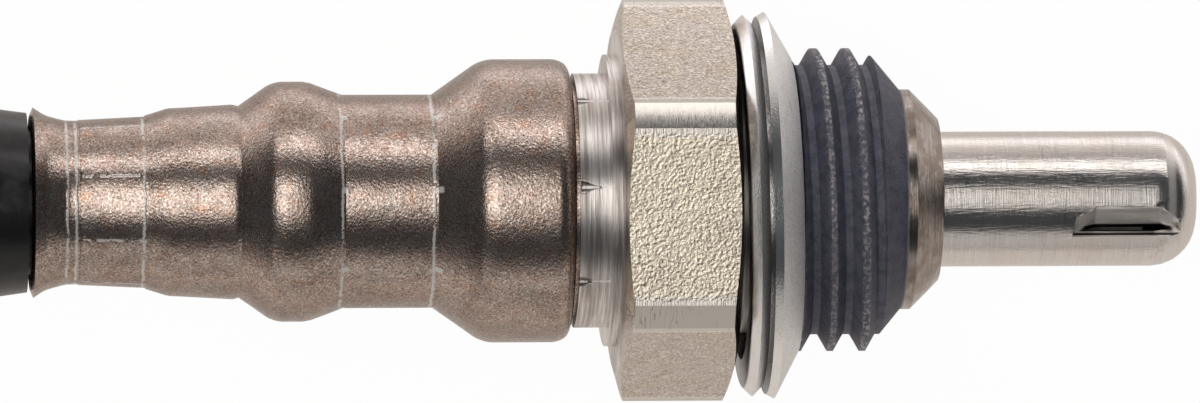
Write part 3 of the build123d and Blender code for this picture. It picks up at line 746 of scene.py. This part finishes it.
def mixed(tree, share, first, second):
    """Mix of two shaders; the share is that of the second."""
    node = place(tree, "ShaderNodeMixShader")
    for socket, item in zip(node.inputs, (share, first, second)):
        feed(tree, socket, item)
    return node.outputs[0]


def glow(tree, kind, colour, strength):
    """Emission or background shader; returns its output."""
    node = place(tree, kind)
    feed(tree, node.inputs["Color"], (*colour, 1.0) if isinstance(colour, tuple) else colour)
    node.inputs["Strength"].default_value = strength
    return node.outputs[0]


def mirrored_floor(tree):
    """The floor as metal shows it, brighter along a strip beside the sensor."""
    split = place(tree, "ShaderNodeSeparateXYZ")
    feed(tree, split.inputs[0], stretched(tree, 1.0, 1.0))
    strip = reckon(tree, "MULTIPLY", remap(tree, split.outputs["Y"], *FLOOR_RISE),
                   remap(tree, split.outputs["Y"], *FLOOR_FALL, 1.0, 0.1))
    colour = blend(tree, strip, (0.70, 0.645, 0.60), (1.55, 1.49, 1.50))
    return glow(tree, "ShaderNodeEmission", colour, 1.0)


def make_floor():
    """Plain pale floor under the sensor. It looks white, keeps a soft shadow and shows one side."""
    place_at = (0, 0, cad_box[0].z - FLOOR_GAP)
    bpy.ops.mesh.primitive_plane_add(size=FLOOR_SIZE, location=place_at)
    floor = bpy.context.object
    floor.name = "floor"
    material = bpy.data.materials.new("pale_floor")
    material.use_nodes = True
    tree = material.node_tree
    tree.nodes.clear()
    output = place(tree, "ShaderNodeOutputMaterial")
    path = place(tree, "ShaderNodeLightPath").outputs
    matt = place(tree, "ShaderNodeBsdfDiffuse")
    matt.inputs["Color"].default_value = (0.80, 0.79, 0.77, 1)
    white = glow(tree, "ShaderNodeEmission", (1.0, 1.0, 1.0), FLOOR_WHITE)
    lit = mixed(tree, FLOOR_GLOW, matt.outputs[0], white)
    seen = mixed(tree, path["Is Camera Ray"], mirrored_floor(tree), lit)
    glossy = reckon(tree, "MAXIMUM", path["Is Glossy Ray"], path["Is Transmission Ray"])
    direct = reckon(tree, "MAXIMUM", path["Is Camera Ray"], glossy)
    upper_side = mixed(tree, direct, matt.outputs[0], seen)
    back = place(tree, "ShaderNodeNewGeometry").outputs["Backfacing"]
    clear = place(tree, "ShaderNodeBsdfTransparent").outputs[0]
    feed(tree, output.inputs["Surface"], mixed(tree, back, upper_side, clear))
    floor.data.materials.append(material)


def light_card(name, angle, spread, x_range, radiance, colour):
    """Soft rectangular light that faces the sensor's axis.

    Its angle is from +Z towards +Y and its spread is half the angle it covers, in degrees.
    """
    across = 2 * CARD_DISTANCE * math.tan(math.radians(spread))
    along = x_range[1] - x_range[0]
    data = bpy.data.lights.new(name, "AREA")
    data.shape = "RECTANGLE"
    data.size, data.size_y = along, across
    data.energy = radiance * math.pi * along * across
    data.color = colour
    card = bpy.data.objects.new(name, data)
    bpy.context.scene.collection.objects.link(card)
    turn = math.radians(angle)
    aim = Vector((0, math.sin(turn), math.cos(turn)))
    side = Vector((1, 0, 0))
    turned = Matrix((side, aim.cross(side), aim)).transposed().to_4x4()
    place_at = Vector((sum(x_range) / 2, 0, 0)) + aim * CARD_DISTANCE
    card.matrix_world = Matrix.Translation(place_at) @ turned
    card.visible_camera = False


def make_lights():
    """Studio light: a card round the camera, a strip above it and dim cards low on both sides."""
    light_card("front_card", 7.0, 17.0, (-0.50, 0.055), 1.95, (1.0, 0.965, 0.92))
    light_card("upper_strip", 64.0, 8.0, (-0.45, 0.45), 2.0, (1.0, 0.96, 0.94))
    light_card("upper_side_card", 82.0, 7.0, (-0.60, 0.60), 0.45, (1.0, 0.90, 0.86))
    light_card("lower_side_card", -70.0, 17.0, (-0.60, 0.60), 0.50, (1.0, 0.94, 0.88))
    world = bpy.data.worlds.new("studio")
    bpy.context.scene.world = world
    world.use_nodes = True
    tree = world.node_tree
    tree.nodes.clear()
    output = place(tree, "ShaderNodeOutputWorld")
    path = place(tree, "ShaderNodeLightPath").outputs
    room = glow(tree, "ShaderNodeBackground", (0.82, 0.90, 1.0), 0.055)
    white = glow(tree, "ShaderNodeBackground", (1.0, 1.0, 1.0), 1.0)
    feed(tree, output.inputs["Surface"], mixed(tree, path["Is Camera Ray"], room, white))


def make_camera():
    """Long lens over the sensor, a little to its rear side, with +Y up in the picture."""
    tilt, yaw, roll = (math.radians(turn) for turn in CAMERA_TURNS)
    back = Vector((-math.sin(yaw), math.cos(yaw) * math.sin(tilt), math.cos(yaw) * math.cos(tilt)))
    level = Vector((0, 1, 0)).cross(back).normalized()
    upright = back.cross(level).normalized()
    right = level * math.cos(roll) + upright * math.sin(roll)
    up = upright * math.cos(roll) - level * math.sin(roll)
    data = bpy.data.cameras.new("camera")
    camera = bpy.data.objects.new("camera", data)
    bpy.context.scene.collection.objects.link(camera)
    data.sensor_width = SENSOR_WIDTH
    data.lens = SENSOR_WIDTH * CAMERA_DISTANCE / (PICTURE_WIDTH / PIXELS_PER_MM * MM)
    data.clip_start, data.clip_end = 0.05, 10.0
    target = Vector((CAMERA_TARGET, 0, 0)) - up * CAMERA_DROP
    turned = Matrix((right, up, back)).transposed().to_4x4()
    camera.matrix_world = Matrix.Translation(target + back * CAMERA_DISTANCE) @ turned
    bpy.context.scene.camera = camera


make_outside()
dress_inside()
make_floor()
make_lights()
make_camera()
bpy.context.scene.view_settings.view_transform = "Standard"
